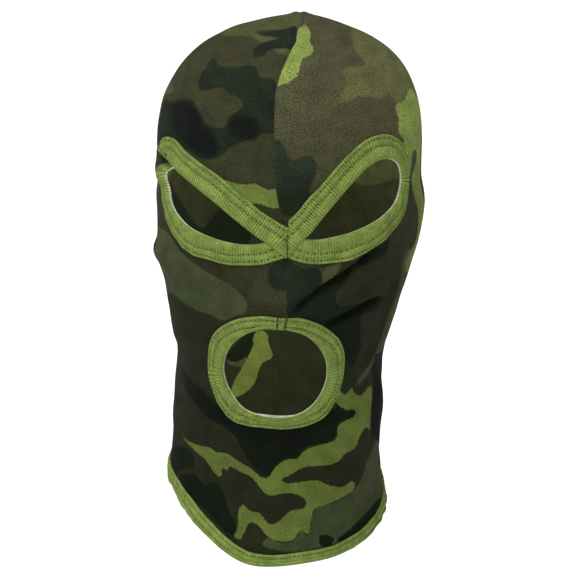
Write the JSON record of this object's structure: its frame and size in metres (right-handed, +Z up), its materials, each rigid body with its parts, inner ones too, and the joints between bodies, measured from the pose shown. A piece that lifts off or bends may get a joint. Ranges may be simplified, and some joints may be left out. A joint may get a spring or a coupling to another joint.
{
  "type": "balaclava",
  "caption": "Pull-on jersey face hood with woodland camouflage print, two bound eye holes, a bound round mouth hole and a bound curved hem.",
  "frame": {"origin": "inside of the crown, where the top of the wearer's head meets the fabric", "axes": "+Z up, the face looks along -Y, +X is the wearer's left"},
  "size_m": [0.16, 0.2005, 0.3154],
  "materials": {
    "jersey": "printed single jersey, woodland camouflage in dark green, olive, brown and lime, matt",
    "binding": "plain lime green ribbed jersey, matt",
    "thread": "lime green polyester sewing thread, slight sheen"
  },
  "bodies": {
    "root": {"hood_panel": "jersey", "seam_overlock": "thread", "left_eye_binding": "binding", "left_eye_outer_stitch": "thread", "left_eye_inner_stitch": "thread", "left_eye_looper_thread": "thread", "right_eye_binding": "binding", "right_eye_outer_stitch": "thread", "right_eye_inner_stitch": "thread", "right_eye_looper_thread": "thread", "mouth_binding": "binding", "mouth_outer_stitch": "thread", "mouth_inner_stitch": "thread", "mouth_looper_thread": "thread", "hem_binding": "binding", "hem_outer_stitch": "thread", "hem_inner_stitch": "thread", "hem_looper_thread": "thread"}
  },
  "joints": []
}
